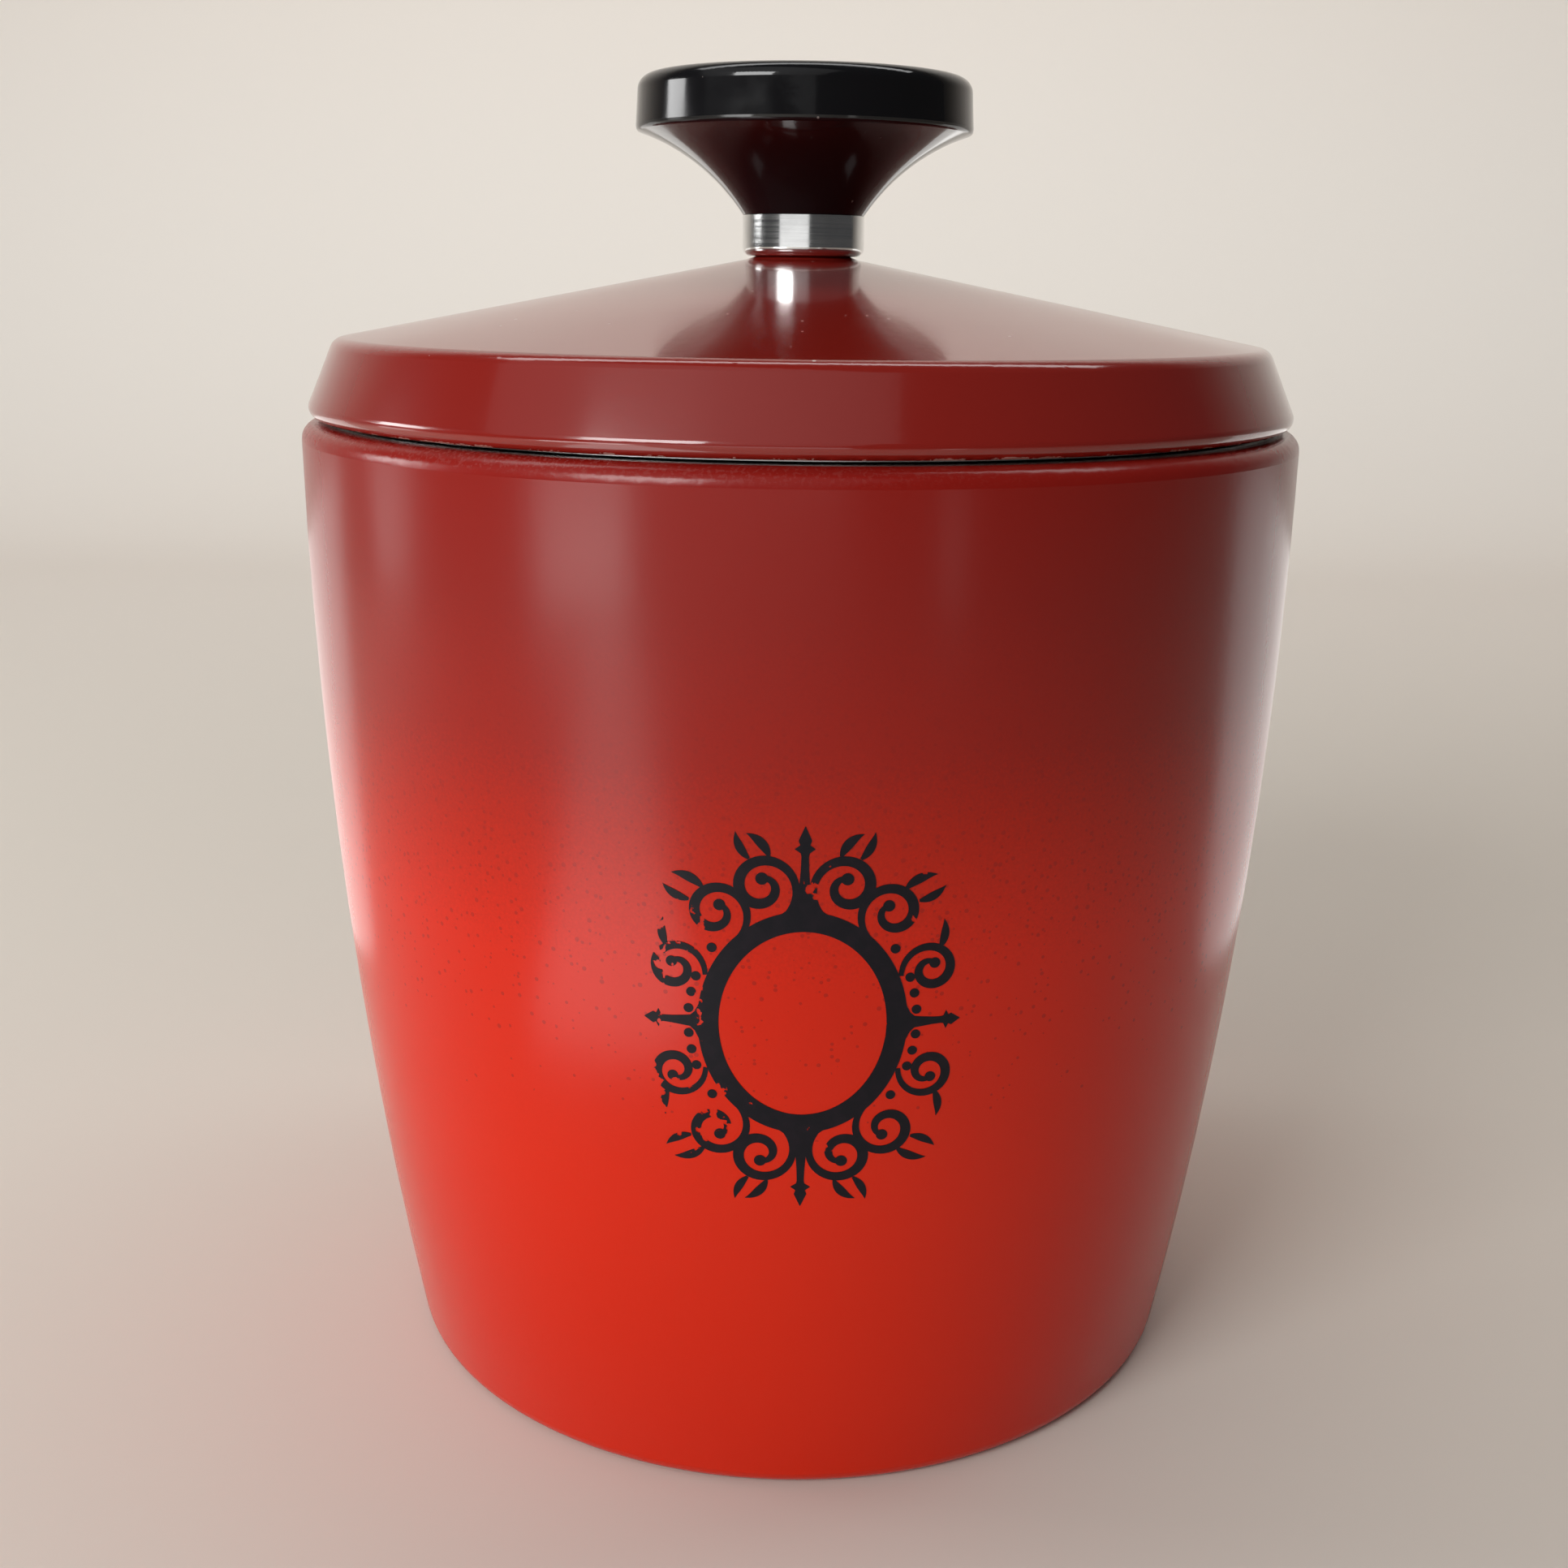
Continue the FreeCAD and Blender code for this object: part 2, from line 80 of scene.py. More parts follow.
# What the floor and the wall throw back as scattered light
BOUNCE_TONE = (0.45, 0.30, 0.20)

# Heights that the body's two enamels fade between, with the colour at each
FADE = ((0.040, FLAME_RED), (0.067, BLAZE_RED), (0.080, EMBER_RED), (0.090, RUSSET), (0.104, MAROON))

# Where the finishes change: heights, depths and ways round the front
FADE_WAVER = 7 * MM
FADE_SPRAY = 12 * MM
OVERSPRAY_HEIGHTS = (45 * MM, 80 * MM)
# Depths and span round the front of the rim's rub band: partly wear, partly a painted highlight on
# the lit left side
RUB_AND_HIGHLIGHT_DEPTHS = (2.2 * MM, 0.4 * MM)
RUB_AND_HIGHLIGHT_AROUND = (50 * MM, -30 * MM)
LEDGE_DEPTH = 2 * MM
BASE_MARGIN = 2.5 * MM
BASE_HEIGHT = 4 * MM
CHIP_HEIGHTS = (0.8 * MM, 0.1 * MM)
HEM_WIDTH = 1.8 * MM
INK_WORN_AROUND = (-4 * MM, -14 * MM)
INWARD_LEAN = -0.25
UNDERSIDE_TILT = -0.2

# Fine relief of the finishes
PEEL_HEIGHT = 0.1 * MM
PEEL_PER_METRE = 900.0
BLOTCHES_PER_METRE = 45.0
RING_HEIGHT = 0.05 * MM

# Floor, wall and lights
STAGE_HALF_WIDTH = 3.0
STAGE_FRONT = -2.5
WALL_DEPTH = 0.95
WALL_BEND = 0.35
WALL_TOP = 2.4
BEND_STEPS = 16
WALL_TONE_DEPTHS = (0.15, 0.75)
GLOW_HEIGHT = 4 * MM
SKY_TONE = (0.94, 0.96, 1.0, 1.0)
SKY_STRENGTH = 0.05

# Kinds of socket in the shared effects
FLOAT = "NodeSocketFloat"
VECTOR = "NodeSocketVector"

# Printed ornament: centre and half sizes, along the wall and up it
PRINT_CENTRE = (1.0 * MM, 61.2 * MM)
PRINT_LIFT = 0.05 * MM
WINDOW_HALF = (8.7, 10.5)
FRAME_HALF = (10.9, 12.7)
BEAD_HALF = (11.9, 13.7)
OVAL_POINTS = 120
BEAD_POINTS = 20


def add_camera():
    """The photograph's viewpoint and framing."""
    data = bpy.data.cameras.new("camera")
    data.sensor_fit = "HORIZONTAL"
    data.sensor_width = SENSOR_WIDTH
    data.lens = SENSOR_WIDTH * FOCAL_PIXELS / PHOTO_WIDTH
    middle = PHOTO_WIDTH / 2
    data.shift_x = (middle - CENTRE_PIXEL[0]) / PHOTO_WIDTH
    data.shift_y = (CENTRE_PIXEL[1] - middle) / PHOTO_WIDTH
    camera = bpy.data.objects.new("camera", data)
    bpy.context.scene.collection.objects.link(camera)
    tilt = Matrix.Rotation(math.pi / 2 - CAMERA_PITCH, 4, "X")
    roll = Matrix.Rotation(CAMERA_ROLL, 4, "Z")
    camera.matrix_world = Matrix.Translation(CAMERA_PLACE) @ tilt @ roll
    bpy.context.scene.camera = camera


def node(tree, kind, inputs=None, **settings):
    """Add a shader node. Its inputs are plain values or another node's output."""
    added = tree.nodes.new(kind)
    for name, value in settings.items():
        setattr(added, name, value)
    for name, value in (inputs or {}).items():
        socket = added.inputs[name]
        if isinstance(value, bpy.types.NodeSocket):
            tree.links.new(value, socket)
        else:
            socket.default_value = value
    return added


def sums(tree, operation, *values):
    """One Math node's result."""
    return node(tree, "ShaderNodeMath", dict(enumerate(values)), operation=operation).outputs[0]


def ramp_between(tree, value, low, high, low_out=0.0, high_out=1.0):
    """A smooth step from low_out to high_out while the value goes from low to high."""
    names = ("Value", "From Min", "From Max", "To Min", "To Max")
    inputs = dict(zip(names, (value, low, high, low_out, high_out)))
    added = node(tree, "ShaderNodeMapRange", inputs, interpolation_type="SMOOTHSTEP")
    return added.outputs["Result"]


def blended(tree, share, first, second):
    """A colour that goes from the first to the second with the share."""
    added = node(tree, "ShaderNodeMix", data_type="RGBA")
    tree.links.new(share, added.inputs[0])
    for socket, colour in ((added.inputs[6], first), (added.inputs[7], second)):
        if isinstance(colour, bpy.types.NodeSocket):
            tree.links.new(colour, socket)
        else:
            socket.default_value = (*colour, 1.0)
    return added.outputs[2]


def noise(tree, place, scale, detail):
    """Cloudy values from 0 to 1, with as many clouds to the metre as the scale says."""
    inputs = {"Vector": place, "Scale": scale, "Detail": detail}
    return node(tree, "ShaderNodeTexNoise", inputs).outputs["Fac"]


def bumped(tree, height, strength, distance):
    """A normal bent by a height that changes over the surface."""
    inputs = {"Height": height, "Strength": strength, "Distance": distance}
    return node(tree, "ShaderNodeBump", inputs).outputs[0]


def new_group(name, inputs, outputs):
    """An empty shader node group with named sockets. Gives its tree and both ends."""
    tree = bpy.data.node_groups.new(name, "ShaderNodeTree")
    for socket, kind, value in inputs:
        made = tree.interface.new_socket(socket, in_out="INPUT", socket_type=kind)
        if value is not None:
            made.default_value = value
    for socket, kind in outputs:
        tree.interface.new_socket(socket, in_out="OUTPUT", socket_type=kind)
    start = tree.nodes.new("NodeGroupInput")
    end = tree.nodes.new("NodeGroupOutput")
    return tree, start.outputs, end.inputs


def specks_group():
    """Small round specks, scattered one to a cell, of which a share is kept."""
    inputs = [("Place", VECTOR, None), ("Cells per Metre", FLOAT, 500.0)]
    inputs += [("Share", FLOAT, 0.1), ("Speck Size", FLOAT, 0.2)]
    tree, given, result = new_group("Specks", inputs, [("Mask", FLOAT)])
    inputs = {"Vector": given["Place"], "Scale": given["Cells per Metre"]}
    cells = node(tree, "ShaderNodeTexVoronoi", inputs)
    pick = node(tree, "ShaderNodeSeparateColor", {"Color": cells.outputs["Color"]})
    kept = sums(tree, "LESS_THAN", pick.outputs[0], given["Share"])
    least = 0.35
    grown = sums(tree, "MULTIPLY", given["Speck Size"], sums(tree, "ADD", pick.outputs[1], least))
    near = sums(tree, "LESS_THAN", cells.outputs["Distance"], grown)
    tree.links.new(sums(tree, "MULTIPLY", kept, near), result["Mask"])
    return tree


def around_group():
    """The place on a turned piece: distance round the front, height and radius."""
    outputs = [("Around", FLOAT), ("Height", FLOAT), ("Radius", FLOAT), ("Unrolled", VECTOR)]
    tree, given, result = new_group("Round the Axis", [("Place", VECTOR, None)], outputs)
    axes = node(tree, "ShaderNodeSeparateXYZ", {"Vector": given["Place"]})
    across, depth, up = axes.outputs
    flat = node(tree, "ShaderNodeCombineXYZ", {"X": across, "Y": depth})
    radius = node(tree, "ShaderNodeVectorMath", {0: flat.outputs[0]}, operation="LENGTH")
    angle = sums(tree, "ARCTAN2", across, sums(tree, "MULTIPLY", depth, -1.0))
    around = sums(tree, "MULTIPLY", angle, radius.outputs["Value"])
    inputs = {"X": around, "Y": up, "Z": radius.outputs["Value"]}
    unrolled = node(tree, "ShaderNodeCombineXYZ", inputs)
    tree.links.new(around, result["Around"])
    tree.links.new(up, result["Height"])
    tree.links.new(radius.outputs["Value"], result["Radius"])
    tree.links.new(unrolled.outputs[0], result["Unrolled"])
    return tree


def ripple_group():
    """Orange peel of sprayed enamel, and slow blotches for its gloss."""
    inputs = [("Place", VECTOR, None), ("Depth", FLOAT, 0.1)]
    outputs = [("Normal", VECTOR), ("Blotch", FLOAT)]
    tree, given, result = new_group("Enamel Ripple", inputs, outputs)
    fine = noise(tree, given["Place"], PEEL_PER_METRE, 2.0)
    slow = noise(tree, given["Place"], BLOTCHES_PER_METRE, 0.0)
    tree.links.new(bumped(tree, fine, given["Depth"], PEEL_HEIGHT), result["Normal"])
    tree.links.new(slow, result["Blotch"])
    return tree


def turning_group():
    """Fine rings left by turning or spinning: a normal and a roughness shift."""
    inputs = [("Unrolled", VECTOR, None), ("Depth", FLOAT, 0.2), ("Rings per Metre", FLOAT, 4000.0)]
    outputs = [("Normal", VECTOR), ("Streak", FLOAT)]
    tree, given, result = new_group("Turning Rings", inputs, outputs)
    inputs = {0: given["Unrolled"], 1: (0.01, 1.0, 1.0)}
    along = node(tree, "ShaderNodeVectorMath", inputs, operation="MULTIPLY")
    lines = noise(tree, along.outputs[0], given["Rings per Metre"], 4.0)
    tree.links.new(bumped(tree, lines, given["Depth"], RING_HEIGHT), result["Normal"])
    tree.links.new(lines, result["Streak"])
    return tree


def chips_group():
    """Broken patches along an edge: a mask that is full where the enamel is gone."""
    inputs = [("Unrolled", VECTOR, None), ("Band", FLOAT, 0.0), ("Amount", FLOAT, 0.5)]
    tree, given, result = new_group("Edge Chips", inputs, [("Mask", FLOAT)])
    coarse = noise(tree, given["Unrolled"], 260.0, 2.0)
    fine = noise(tree, given["Unrolled"], 2200.0, 3.0)
    ragged = sums(tree, "ADD", coarse, sums(tree, "MULTIPLY", fine, 0.6))
    level = sums(tree, "MULTIPLY", ragged, given["Band"])
    limit = sums(tree, "SUBTRACT", 1.3, given["Amount"])
    tree.links.new(sums(tree, "GREATER_THAN", level, limit), result["Mask"])
    return tree


GROUPS = {
    "specks": specks_group(),
    "around": around_group(),
    "ripple": ripple_group(),
    "turning": turning_group(),
    "chips": chips_group(),
}


def use(tree, name, inputs):
    """Place one of the shared effects in a material. Gives its outputs."""
    placed = tree.nodes.new("ShaderNodeGroup")
    placed.node_tree = GROUPS[name]
    for socket, value in inputs.items():
        if isinstance(value, bpy.types.NodeSocket):
            tree.links.new(value, placed.inputs[socket])
        else:
            placed.inputs[socket].default_value = value
    return placed.outputs


def specks(tree, place, per_metre, share, size):
    """Full on small round specks: cells to the metre, share of them kept, size in a cell."""
    inputs = {"Place": place, "Cells per Metre": per_metre, "Share": share, "Speck Size": size}
    return use(tree, "specks", inputs)["Mask"]


def new_material(name, roughness=0.4, **plain):
    """A material with a Principled shader. Gives it, its tree and the shader's inputs."""
    material = bpy.data.materials.new(name)
    material.use_nodes = True
    tree = material.node_tree
    shader = tree.nodes["Principled BSDF"].inputs
    shader["Roughness"].default_value = roughness
    for socket, value in plain.items():
        shader[socket.replace("_", " ")].default_value = value
    return material, tree, shader


def place_of(tree):
    """The place on the piece, in the frame's metres."""
    return node(tree, "ShaderNodeTexCoord").outputs["Object"]


def feed(tree, shader, **outputs):
    """Link values into the shader's inputs by name."""
    for socket, value in outputs.items():
        tree.links.new(value, shader[socket.replace("_", " ")])


def body_enamel():
    """Two sprayed enamels that fade into each other, over aluminium bare inside."""
    material, tree, shader = new_material("body_enamel", Specular_IOR_Level=0.32)
    place = place_of(tree)
    spot = use(tree, "around", {"Place": place})
    ripple = use(tree, "ripple", {"Place": place, "Depth": 0.10})
    drift = noise(tree, place, 22.0, 1.0)
    grain = noise(tree, place, 3200.0, 1.0)
    waver = sums(tree, "MULTIPLY", sums(tree, "SUBTRACT", drift, 0.5), FADE_WAVER)
    level = sums(tree, "ADD", spot["Height"], waver)
    spray = sums(tree, "MULTIPLY", sums(tree, "SUBTRACT", grain, 0.5), FADE_SPRAY)
    level = sums(tree, "ADD", level, spray)
    fade = node(tree, "ShaderNodeValToRGB", {"Fac": sums(tree, "DIVIDE", level, RIM_HEIGHT)})
    fill_ramp(fade.color_ramp, [(height / RIM_HEIGHT, colour) for height, colour in FADE])
    overspray = ramp_between(tree, spot["Height"], *OVERSPRAY_HEIGHTS)
    drops = specks(tree, place, 1500.0, sums(tree, "MULTIPLY", overspray, 0.55), 0.30)
    paint = blended(tree, sums(tree, "MULTIPLY", drops, 0.5), fade.outputs["Color"], MAROON)
    # Pinkish speckle on the rim's left half: partly rubbed wear, partly a painted highlight where the
    # light catches the rim's rounding
    rim_band = ramp_between(tree, spot["Height"], *(RIM_HEIGHT - depth for depth in RUB_AND_HIGHLIGHT_DEPTHS))
    left_half = ramp_between(tree, spot["Around"], *RUB_AND_HIGHLIGHT_AROUND)
    rubbed_and_lit = sums(tree, "MULTIPLY", rim_band, left_half)
    sand = noise(tree, place, 2600.0, 2.0)
    rub_and_highlight = sums(tree, "MULTIPLY", rubbed_and_lit, ramp_between(tree, sand, 0.50, 0.62))
    paint = blended(tree, sums(tree, "MULTIPLY", rub_and_highlight, 0.05), paint, PRIMER_AND_HIGHLIGHT_PINK)
    paint = blended(tree, specks(tree, place, 110.0, 0.06, 0.022), paint, PALE_DUST)
    bare = bare_inside(tree, place, spot)
    colour = blended(tree, bare, paint, BARE_METAL)
    soft = ramp_between(tree, ripple["Blotch"], 0.25, 0.75, 0.20, 0.25)
    soft = sums(tree, "ADD", soft, sums(tree, "MULTIPLY", rub_and_highlight, 0.06))
    feed(tree, shader, Base_Color=colour, Metallic=bare, Roughness=soft, Normal=ripple["Normal"])
    return material


def fill_ramp(color_ramp, stops):
    """Set a colour ramp's stops."""
    while len(color_ramp.elements) < len(stops):
        color_ramp.elements.new(0.5)
    for element, (position, colour) in zip(color_ramp.elements, stops):
        element.position = position
        element.color = (*colour, 1.0)


def bare_inside(tree, place, spot):
    """Full on the canister's inner faces, on its ledge and under its base."""
    facing = node(tree, "ShaderNodeNewGeometry").outputs["True Normal"]
    flat = node(tree, "ShaderNodeVectorMath", {0: place, 1: (1.0, 1.0, 0.0)}, operation="MULTIPLY")
    outward = node(tree, "ShaderNodeVectorMath", {0: flat.outputs[0]}, operation="NORMALIZE")
    inputs = {0: facing, 1: outward.outputs[0]}
    lean = node(tree, "ShaderNodeVectorMath", inputs, operation="DOT_PRODUCT")
    inner = sums(tree, "LESS_THAN", lean.outputs["Value"], INWARD_LEAN)
    ledge = sums(tree, "LESS_THAN", spot["Radius"], LEDGE_RADIUS)
    upper = sums(tree, "GREATER_THAN", spot["Height"], RIM_HEIGHT - LEDGE_DEPTH)
    ledge = sums(tree, "MULTIPLY", ledge, upper)
    base = sums(tree, "LESS_THAN", spot["Radius"], FOOT_RADIUS - BASE_MARGIN)
    base = sums(tree, "MULTIPLY", base, sums(tree, "LESS_THAN", spot["Height"], BASE_HEIGHT))
    return sums(tree, "MAXIMUM", inner, sums(tree, "MAXIMUM", ledge, base))


def lid_enamel():
    """Dark maroon enamel: glossy, dusty on top, chipped to metal along the hem."""
    material, tree, shader = new_material("lid_enamel", Coat_Weight=0.42, Coat_Roughness=0.06)
    place = place_of(tree)
    spot = use(tree, "around", {"Place": place})
    ripple = use(tree, "ripple", {"Place": place, "Depth": 0.06})
    facing = node(tree, "ShaderNodeNewGeometry").outputs["True Normal"]
    upward = node(tree, "ShaderNodeSeparateXYZ", {"Vector": facing}).outputs["Z"]
    top = ramp_between(tree, upward, 0.55, 0.8)
    dust = specks(tree, place, 900.0, 0.06, 0.13)
    crumbs = specks(tree, place, 160.0, 0.05, 0.05)
    settled = sums(tree, "MULTIPLY", sums(tree, "MAXIMUM", dust, crumbs), top)
    paint = blended(tree, sums(tree, "MULTIPLY", settled, 0.6), LID_MAROON, PALE_DUST)
    band = ramp_between(tree, spot["Height"], *(HEM_HEIGHT + height for height in CHIP_HEIGHTS))
    chipped = use(tree, "chips", {"Unrolled": spot["Unrolled"], "Band": band, "Amount": 0.47})["Mask"]
    paint = blended(tree, chipped, paint, PRIMER_AND_HIGHLIGHT_PINK)
    under = sums(tree, "LESS_THAN", upward, UNDERSIDE_TILT)
    within = sums(tree, "LESS_THAN", spot["Radius"], LID_RADIUS - HEM_WIDTH)
    inner = sums(tree, "MULTIPLY", under, within)
    colour = blended(tree, inner, paint, BARE_METAL)
    soft = ramp_between(tree, ripple["Blotch"], 0.3, 0.7, 0.13, 0.18)
    worn = sums(tree, "MAXIMUM", chipped, inner)
    soft = sums(tree, "ADD", soft, sums(tree, "MULTIPLY", worn, 0.2))
    metal = sums(tree, "MAXIMUM", inner, sums(tree, "MULTIPLY", chipped, 0.3))
    feed(tree, shader, Base_Color=colour, Metallic=metal, Roughness=soft, Normal=ripple["Normal"])
    return material


def turned_metal(name, colour, low, high, depth, rings=4000.0):
    """Metal with turning rings, of a roughness that varies from low to high."""
    material, tree, shader = new_material(name, Metallic=1.0)
    place = place_of(tree)
    spot = use(tree, "around", {"Place": place})
    inputs = {"Unrolled": spot["Unrolled"], "Depth": depth, "Rings per Metre": rings}
    turning = use(tree, "turning", inputs)
    stain = noise(tree, place, 130.0, 4.0)
    dull = tuple(0.72 * part for part in colour)
    shade = blended(tree, ramp_between(tree, stain, 0.45, 0.75, 0.0, 0.6), colour, dull)
    soft = ramp_between(tree, turning["Streak"], 0.35, 0.65, low, high)
    feed(tree, shader, Base_Color=shade, Roughness=soft, Normal=turning["Normal"])
    return material


def knob_moulding():
    """Glossy black moulding with faint handling marks and a little dust."""
    material, tree, shader = new_material("knob_moulding", IOR=1.48)
    place = place_of(tree)
    smears = noise(tree, place, 90.0, 5.0)
    fluff = specks(tree, place, 700.0, 0.03, 0.10)
    colour = blended(tree, sums(tree, "MULTIPLY", fluff, 0.25), KNOB_BLACK, PALE_DUST)
    soft = ramp_between(tree, smears, 0.4, 0.75, 0.07, 0.17)
    ripple = use(tree, "ripple", {"Place": place, "Depth": 0.03})
    feed(tree, shader, Base_Color=colour, Roughness=soft, Normal=ripple["Normal"])
    return material


def print_ink():
    """Black printed ink, worn through in places, most on the left."""
    material, tree, shader = new_material("print_ink", roughness=0.38, Specular_IOR_Level=0.2)
    place = place_of(tree)
    spot = use(tree, "around", {"Place": place})
    scuff = noise(tree, place, 700.0, 5.0)
    patch = noise(tree, place, 150.0, 2.0)
    mixed = sums(tree, "ADD", scuff, sums(tree, "MULTIPLY", patch, 0.8))
    left = ramp_between(tree, spot["Around"], *INK_WORN_AROUND)
    limit = sums(tree, "SUBTRACT", 1.16, sums(tree, "MULTIPLY", left, 0.22))
    kept = sums(tree, "LESS_THAN", mixed, limit)
    tone = blended(tree, ramp_between(tree, scuff, 0.4, 0.7), INK_BLACK, INK_GREYED)
    feed(tree, shader, Base_Color=tone, Alpha=kept)
    return material


def ellipse(half, count):
    """Points once round an oval."""
    angles = [2 * math.pi * step / count for step in range(count)]
    return [(half[0] * math.sin(a), half[1] * math.cos(a)) for a in angles]


def ring_faces(outer, inner):
    """Quads between two rings of as many points."""
    count = len(outer)
    points = outer + inner
    quads = []
    for step in range(count):
        after = (step + 1) % count
        quads.append((step, after, count + after, count + step))
    return points, quads


def ribbon_faces(line, widths):
    """Quads along a line, as wide at each point as the widths say."""
    points = []
    for step, (x, y) in enumerate(line):
        before = line[max(step - 1, 0)]
        after = line[min(step + 1, len(line) - 1)]
        run = Vector((after[0] - before[0], after[1] - before[1])).normalized()
        half = widths[step] / 2
        points.append((x - run.y * half, y + run.x * half))
        points.append((x + run.y * half, y - run.x * half))
    quads = []
    for step in range(len(line) - 1):
        first = 2 * step
        quads.append((first, first + 1, first + 3, first + 2))
    return points, quads


def swept(start, heading, length, bend, thick, steps=16):
    """A pointed leaf that bends evenly to one side."""
    x, y = start
    angle = math.radians(heading)
    line = [(x, y)]
    widths = [thick * 0.3]
    for step in range(1, steps + 1):
        angle += math.radians(bend) * length / steps
        x += math.cos(angle) * length / steps
        y += math.sin(angle) * length / steps
        line.append((x, y))
        widths.append(thick * max(math.sin(math.pi * (0.1 + 0.9 * step / steps)), 0.03))
    return ribbon_faces(line, widths)


def volute(centre, outer, inner, start, sweep, thick, steps=56):
    """A spiral stroke that winds in to a round eye."""
    line = []
    widths = []
    for step in range(steps + 1):
        share = step / steps
        reach = outer + (inner - outer) * share ** 0.8
        angle = math.radians(start + sweep * share)
        line.append((centre[0] + reach * math.cos(angle), centre[1] + reach * math.sin(angle)))
        widths.append(thick * (0.55 + 0.6 * math.sin(math.pi * share) - 0.1 * share))
    return [ribbon_faces(line, widths), bead(line[-1], thick * 0.62)]


def bead(centre, radius):
    """A filled dot, as one face."""
    round_points = ellipse((radius, radius), BEAD_POINTS)
    points = [(centre[0] + x, centre[1] + y) for x, y in round_points]
    return points, [tuple(range(BEAD_POINTS))]


def mirrored(shape, across, up):
    """The same shape on another side of the ornament."""
    points, quads = shape
    return [(x * across, y * up) for x, y in points], quads


def finial(base, tip):
    """A spear on a stem, upright above the frame."""
    span = tip - base
    heights = (0.0, 0.10, 0.18, 0.50, 0.66, 0.70, 0.745, 0.79, 0.84, 1.0)
    widths = (4.6, 2.2, 1.3, 0.85, 0.75, 0.9, 2.1, 1.0, 1.35, 0.05)
    line = [(0.0, base + span * share) for share in heights]
    return ribbon_faces(line, widths)


def ornament_shapes():
    """A beaded oval frame round a bare window, with like scrolls in its four quarters."""
    shapes = [ring_faces(ellipse(FRAME_HALF, OVAL_POINTS), ellipse(WINDOW_HALF, OVAL_POINTS))]
    for degrees in (52, 68, 76, 84):
        angle = math.radians(degrees)
        centre = (BEAD_HALF[0] * math.sin(angle), BEAD_HALF[1] * math.cos(angle))
        shapes.append(bead(centre, 0.52))
    shapes += volute((4.3, 15.3), 3.9, 0.9, 230, -500, 1.05)
    shapes += volute((9.0, 12.4), 3.75, 0.9, 238, -480, 1.0)
    shapes += volute((13.2, 5.9), 3.2, 0.8, 190, -490, 0.95)
    shapes += [
        swept((3.6, 18.6), 75, 3.4, -16.0, 1.0),
        swept((5.6, 18.3), 40, 3.2, 14.0, 0.9),
        swept((10.3, 15.0), 50, 3.6, -14.0, 1.0),
        swept((11.7, 13.6), 5, 3.2, 14.0, 0.9),
        swept((14.1, 8.3), 60, 3.2, 14.0, 0.9),
    ]
    half = [mirrored(shape, across, 1) for shape in shapes[1:] for across in (1, -1)]
    whole = shapes[:1] + [mirrored(shape, 1, up) for shape in half for up in (1, -1)]
    spear = finial(12.4, 21.8)
    whole += [spear, mirrored(spear, 1, -1)]
    points, quads = finial(10.6, 16.6)
    for side in (1, -1):
        whole.append(([(side * y, x) for x, y in points], quads))
    return whole


def wall_radius(height):
    """The canister's outer radius at a height, on the arc through foot, belly and mouth."""
    foot = Vector((FOOT_RADIUS, 0.0))
    belly = Vector((BELLY_RADIUS, RIM_HEIGHT / 2))
    mouth = Vector((MOUTH_RADIUS, RIM_HEIGHT))
    centre = circle_centre(foot, belly, mouth)
    arc_radius = (foot - centre).length
    return centre.x + math.sqrt(arc_radius ** 2 - (height - centre.y) ** 2)


def circle_centre(a, b, c):
    """The centre of the circle through three points."""
    d = 2 * (a.x * (b.y - c.y) + b.x * (c.y - a.y) + c.x * (a.y - b.y))
    aa, bb, cc = a.length_squared, b.length_squared, c.length_squared
    x = (aa * (b.y - c.y) + bb * (c.y - a.y) + cc * (a.y - b.y)) / d
    y = (aa * (c.x - b.x) + bb * (a.x - c.x) + cc * (b.x - a.x)) / d
    return Vector((x, y))


def on_wall(point, lift):
    """A flat point of the ornament, in millimetres, laid on the canister's wall."""
    height = PRINT_CENTRE[1] + point[1] * MM
    radius = wall_radius(height)
    angle = (PRINT_CENTRE[0] + point[0] * MM) / radius
    radius += lift
    return (radius * math.sin(angle), -radius * math.cos(angle), height)


def turn_of(corners):
    """Twice a flat face's area: above zero if its corners run anticlockwise."""
    pairs = zip(corners, corners[1:] + corners[:1])
    return sum(a[0] * b[1] - b[0] * a[1] for a, b in pairs)


def add_ornament(material):
    """The printed ornament as one thin film, joined flat and then laid on the wall."""
    points = []
    faces = []
    for shape_points, shape_faces in ornament_shapes():
        first = len(points)
        points += [Vector(point) for point in shape_points]
        for face in shape_faces:
            turn = turn_of([shape_points[corner] for corner in face])
            ordered = face if turn > 0 else face[::-1]
            faces.append([first + corner for corner in ordered])
    joined = delaunay_2d_cdt(points, [], faces, 0, 1e-4)
    flat = joined[0]
    triangles = [triangle for triangle, shapes in zip(joined[2], joined[5]) if shapes]
    count = len(flat)
    verts = [on_wall(point, PRINT_LIFT) for point in flat]
    verts += [on_wall(point, -PRINT_LIFT) for point in flat]
    outer = [tuple(face) for face in triangles]
    sides = {}
    for face in outer:
        for step in range(3):
            edge = (face[step], face[(step + 1) % 3])
            if (edge[1], edge[0]) in sides:
                del sides[(edge[1], edge[0])]
            else:
                sides[edge] = True
    inner = [tuple(corner + count for corner in reversed(face)) for face in outer]
    walls = [(b, a, a + count, b + count) for a, b in sides]
    mesh = bpy.data.meshes.new("printed_ornament")
    mesh.from_pydata(verts, [], outer + inner + walls)
    mesh.validate()
    mesh.materials.append(material)
    piece = bpy.data.objects.new("printed_ornament", mesh)
    bpy.context.scene.collection.objects.link(piece)
    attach(piece, "canister")


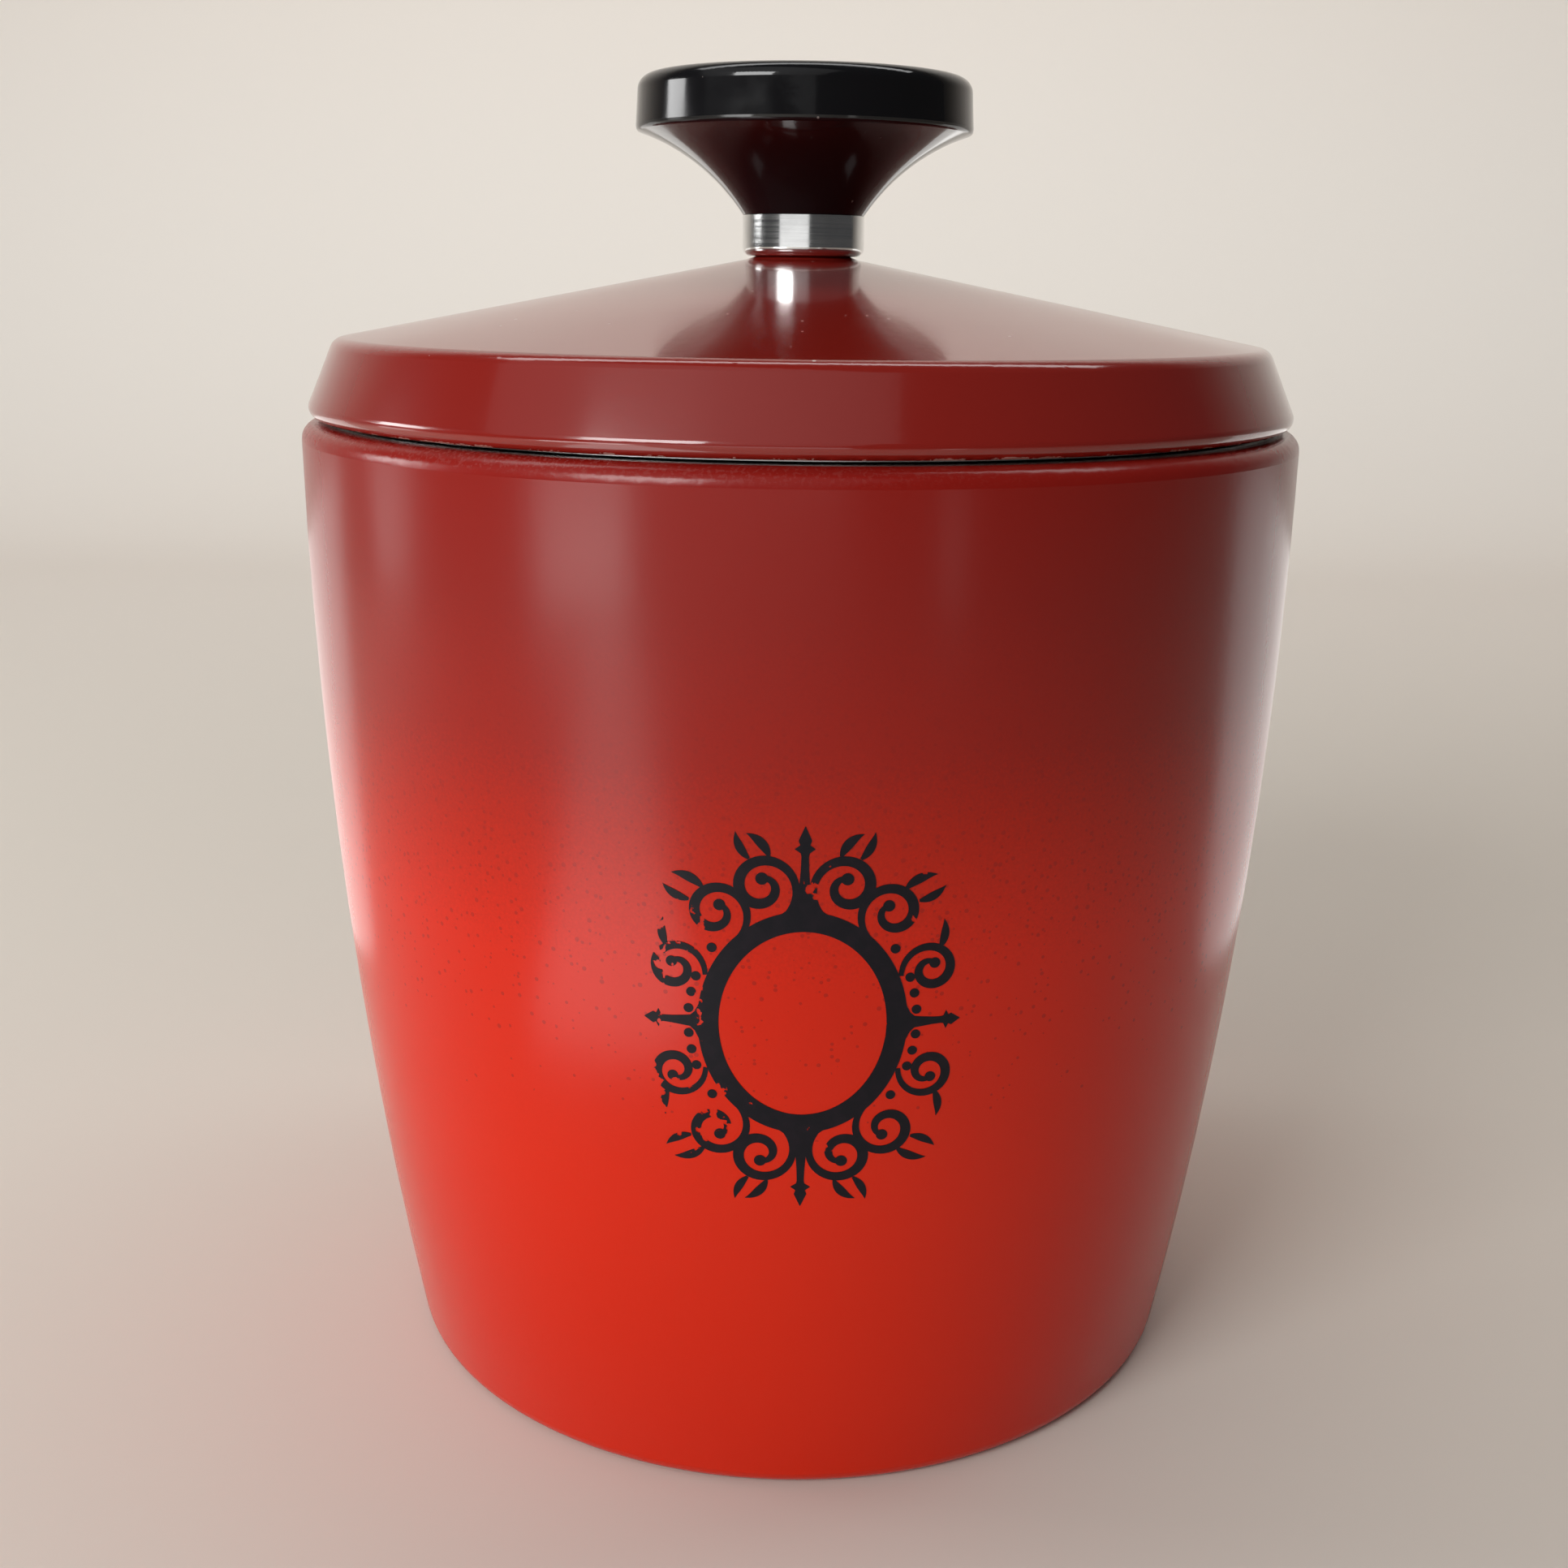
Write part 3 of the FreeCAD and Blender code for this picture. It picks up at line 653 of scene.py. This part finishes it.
def paint_nodes():
    """Give every CAD piece its finish."""
    bare = turned_metal("spun_aluminium", BARE_METAL, 0.24, 0.36, 0.25)
    zinc = turned_metal("zinc_plate", ZINC, 0.30, 0.42, 0.15, 2500.0)
    finishes = {
        "canister_body": body_enamel(),
        "strainer": bare,
        "lid_shell": lid_enamel(),
        "lid_plug_ring": bare,
        "ferrule": turned_metal("bright_ferrule", BRIGHT_METAL, 0.12, 0.18, 0.04),
        "knob": knob_moulding(),
        "knob_insert": turned_metal("turned_brass", BRASS, 0.22, 0.34, 0.2),
        "knob_screw": zinc,
        "flat_washer": zinc,
        "lock_washer": zinc,
    }
    for name, material in finishes.items():
        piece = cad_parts[name]
        piece.data.materials.clear()
        piece.data.materials.append(material)


def add_stage():
    """A plain pale floor that curves up into a paler wall."""
    material, tree, shader = new_material("studio_paper", roughness=0.7, Specular_IOR_Level=0.3)
    place = place_of(tree)
    backward = node(tree, "ShaderNodeSeparateXYZ", {"Vector": place}).outputs["Y"]
    behind = ramp_between(tree, backward, *WALL_TONE_DEPTHS)
    seen = blended(tree, behind, FLOOR_TONE, WALL_TONE)
    path = node(tree, "ShaderNodeLightPath").outputs
    direct = sums(tree, "MAXIMUM", path["Is Camera Ray"], path["Is Glossy Ray"])
    direct = sums(tree, "MAXIMUM", direct, path["Is Transmission Ray"])
    feed(tree, shader, Base_Color=blended(tree, direct, BOUNCE_TONE, seen))
    bend_start = WALL_DEPTH - WALL_BEND
    profile = [(STAGE_FRONT, 0.0), (bend_start, 0.0)]
    for step in range(1, BEND_STEPS + 1):
        angle = math.pi / 2 * step / BEND_STEPS
        depth = bend_start + WALL_BEND * math.sin(angle)
        profile.append((depth, WALL_BEND - WALL_BEND * math.cos(angle)))
    profile.append((WALL_DEPTH, WALL_TOP))
    verts = []
    for depth, height in profile:
        verts += [(-STAGE_HALF_WIDTH, depth, height), (STAGE_HALF_WIDTH, depth, height)]
    faces = []
    for step in range(len(profile) - 1):
        first = 2 * step
        faces.append((first, first + 1, first + 3, first + 2))
    mesh = bpy.data.meshes.new("studio_sweep")
    mesh.from_pydata(verts, [], faces)
    mesh.polygons.foreach_set("use_smooth", [True] * len(faces))
    mesh.materials.append(material)
    sweep = bpy.data.objects.new("studio_sweep", mesh)
    bpy.context.scene.collection.objects.link(sweep)


def add_softbox(name, place, target, width, height, watts, turn=0.0, spread=180.0):
    """A rectangular soft light aimed at a point. Its turn and spread are in degrees."""
    data = bpy.data.lights.new(name, "AREA")
    data.shape = "RECTANGLE"
    data.size = width
    data.size_y = height
    data.energy = watts
    data.spread = math.radians(spread)
    light = bpy.data.objects.new(name, data)
    bpy.context.scene.collection.objects.link(light)
    light.location = place
    aim = Vector(target) - Vector(place)
    spin = Quaternion((0.0, 0.0, 1.0), math.radians(turn))
    light.rotation_euler = (aim.to_track_quat("-Z", "Y") @ spin).to_euler()
    light.visible_camera = False


def add_floor_glow(name, x, y, width, length, watts, turn):
    """A soft light that lies just above the floor, faces up and shows in the low glaze."""
    add_softbox(name, (x, y, GLOW_HEIGHT), (x, y, 1.0), width, length, watts, turn=turn)


def add_lights():
    """A window at the left front, a wide fill, low strips and cards, and a wash on the wall."""
    middle = (0.0, 0.0, 0.08)
    low = (0.0, 0.0, 0.06)
    add_softbox("window_key", (-0.588, -0.809, 0.60), middle, 0.5, 0.36, 5.7)
    add_softbox("front_fill", (-0.80, -1.30, 1.42), middle, 3.4, 2.0, 4.6, spread=120.0)
    add_softbox("side_high", (-0.6, 0.06, 0.24), (0.0, 0.0, 0.15), 0.18, 0.12, 0.62)
    add_softbox("side_low", (-0.6, 0.06, 0.05), low, 0.14, 0.08, 0.07)
    add_softbox("streak_near", (-0.425, -0.423, 0.035), low, 0.22, 0.06, 0.24)
    add_softbox("streak_right", (0.310, -0.514, 0.035), low, 0.05, 0.06, 0.010)
    add_softbox("front_card", (-0.33, -0.80, 0.12), (-0.33, 0.0, 0.12), 0.95, 0.16, 0.45)
    add_floor_glow("glow_near", -0.19, -0.25, 0.09, 0.36, 0.20, 38.5)
    add_floor_glow("glow_left", -0.447, 0.599, 0.60, 1.10, 1.7, 122.0)
    add_floor_glow("glow_right", 0.563, 0.504, 0.60, 1.10, 1.7, -110.0)
    add_softbox("wall_wash", (0.0, 0.25, 1.35), (0.0, 0.95, 0.2), 2.2, 0.4, 10.5)
    world = bpy.data.worlds.new("studio")
    world.use_nodes = True
    bpy.context.scene.world = world
    tree = world.node_tree
    background = tree.nodes["Background"]
    background.inputs["Color"].default_value = SKY_TONE
    background.inputs["Strength"].default_value = SKY_STRENGTH


def set_view():
    """Plain display of colours as written."""
    bpy.context.scene.view_settings.view_transform = "Standard"


add_camera()
set_view()
paint_nodes()
add_ornament(print_ink())
add_stage()
add_lights()
